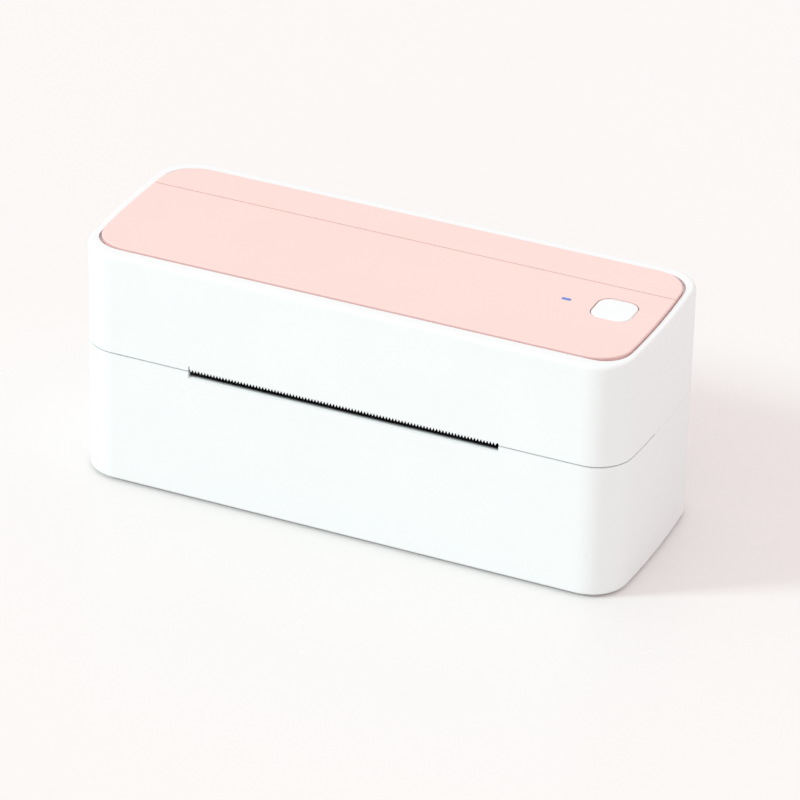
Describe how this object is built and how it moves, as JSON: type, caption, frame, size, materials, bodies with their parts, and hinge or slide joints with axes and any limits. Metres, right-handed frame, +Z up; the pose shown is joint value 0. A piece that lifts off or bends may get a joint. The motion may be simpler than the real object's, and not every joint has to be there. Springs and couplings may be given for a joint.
{
  "type": "label printer",
  "caption": "Compact desktop printer for wide labels, with a rear-hinged lid, a rear label inlet and a front exit slot.",
  "frame": {"origin": "on the table, under the middle of the body", "axes": "+X to the right seen from the front, -Y towards the front where the label comes out, +Z up"},
  "size_m": [0.201, 0.076, 0.0884],
  "materials": {
    "white_shell": "satin moulded ABS, off-white",
    "white_button": "smooth moulded ABS, white",
    "pink_plate": "satin moulded ABS, pale pink",
    "blue_lens": "clear blue light guide",
    "grey_plastic": "moulded ABS, light grey",
    "dark_plastic": "moulded POM, black",
    "gear_plastic": "moulded POM, natural",
    "bush_plastic": "sintered polymer bush",
    "foot_rubber": "moulded rubber",
    "platen_rubber": "ground silicone rubber",
    "steel": "ground steel",
    "screw_steel": "zinc plated steel",
    "plate_steel": "galvanised sheet steel",
    "motor_steel": "plated can",
    "brass": "turned brass",
    "board_green": "coated glass-epoxy board",
    "socket_metal": "tinned shell",
    "black_plastic": "moulded plastic, black",
    "sensor_plastic": "dark window plastic",
    "aluminium": "extruded aluminium",
    "ceramic_white": "glazed substrate"
  },
  "bodies": {
    "base": {"base_shell": "white_shell", "rubber_feet": "foot_rubber", "case_screws": "screw_steel", "label_deck": "grey_plastic", "left_side_plate": "plate_steel", "right_side_plate": "plate_steel", "plate_screws": "screw_steel", "left_platen_bush": "bush_plastic", "right_platen_bush": "bush_plastic", "stepper_motor": "motor_steel", "motor_screws": "screw_steel", "idler_post": "steel", "gear_cover": "grey_plastic", "gap_sensor": "sensor_plastic", "pinion_screw": "screw_steel", "main_board": "board_green", "board_screws": "screw_steel", "usb_port": "socket_metal", "dc_jack": "black_plastic", "switch_frame": "black_plastic", "hinge_pins": "steel", "latch_springs": "steel"},
    "lid": {"top_cover": "white_shell", "top_plate": "pink_plate", "tear_bar": "white_shell", "lid_frame": "grey_plastic", "lid_screws": "screw_steel", "upper_sensor": "sensor_plastic", "head_bracket": "plate_steel", "bracket_screws": "screw_steel", "head_springs": "steel", "button_board": "board_green", "button_board_screws": "screw_steel", "button_switch": "black_plastic", "lamp_lens": "blue_lens", "lamp_chip": "ceramic_white"},
    "head": {"heat_sink": "aluminium", "ceramic_bar": "ceramic_white", "head_board": "board_green"},
    "platen": {"platen_roller": "platen_rubber", "platen_shaft": "steel", "platen_gear": "gear_plastic"},
    "idler": {"reduction_gear": "gear_plastic"},
    "motor_rotor": {"motor_pinion": "brass", "motor_shaft": "steel"},
    "left_guide": {"left_label_guide": "dark_plastic"},
    "right_guide": {"right_label_guide": "dark_plastic"},
    "guide_gear": {"guide_pinion": "gear_plastic"},
    "rocker": {"power_rocker": "black_plastic"},
    "button": {"feed_button": "white_button", "switch_plunger": "black_plastic"}
  },
  "joints": [
    {"name": "lid_hinge", "type": "hinge", "parent": "base", "child": "lid", "pos_m": [0, 0.035, 0.05], "axis": [-1, 0, 0], "range_deg": [0, 78]},
    {"name": "head_press", "type": "slide", "parent": "lid", "child": "head", "axis": [0, 0, 1], "range_m": [0, 0.001], "stiffness_N_per_m": 4000, "springref_m": -0.004, "deforming": ["head_springs"]},
    {"name": "button_press", "type": "slide", "parent": "lid", "child": "button", "axis": [0, 0, -1], "range_m": [0, 0.0008], "stiffness_N_per_m": 600, "springref_m": -0.0015},
    {"name": "platen_spin", "type": "hinge", "parent": "base", "child": "platen", "pos_m": [0, -0.025, 0.0415], "axis": [1, 0, 0], "continuous": true},
    {"name": "idler_spin", "type": "hinge", "parent": "base", "child": "idler", "pos_m": [0, -0.0187, 0.03059], "axis": [1, 0, 0], "continuous": true},
    {"name": "motor_spin", "type": "hinge", "parent": "base", "child": "motor_rotor", "pos_m": [0, -0.00627, 0.0202], "axis": [1, 0, 0], "continuous": true},
    {"name": "left_guide_slide", "type": "slide", "parent": "base", "child": "left_guide", "axis": [1, 0, 0], "range_m": [0, 0.033]},
    {"name": "right_guide_slide", "type": "slide", "parent": "base", "child": "right_guide", "axis": [-1, 0, 0], "range_m": [0, 0.033]},
    {"name": "guide_gear_turn", "type": "hinge", "parent": "base", "child": "guide_gear", "pos_m": [0, 0.01, 0.044], "axis": [0, 0, 1], "range_deg": [0, 300]},
    {"name": "rocker_tilt", "type": "hinge", "parent": "base", "child": "rocker", "pos_m": [0.07, 0.0331, 0.024], "axis": [0, 0, -1], "range_deg": [0, 16]}
  ],
  "couplings": [
    {"joint": "idler_spin", "follows": "platen_spin", "ratio": -1.625},
    {"joint": "motor_spin", "follows": "platen_spin", "ratio": 5.6875},
    {"joint": "right_guide_slide", "follows": "left_guide_slide", "ratio": 1},
    {"joint": "guide_gear_turn", "follows": "left_guide_slide", "rad_per_m": 156.25}
  ]
}
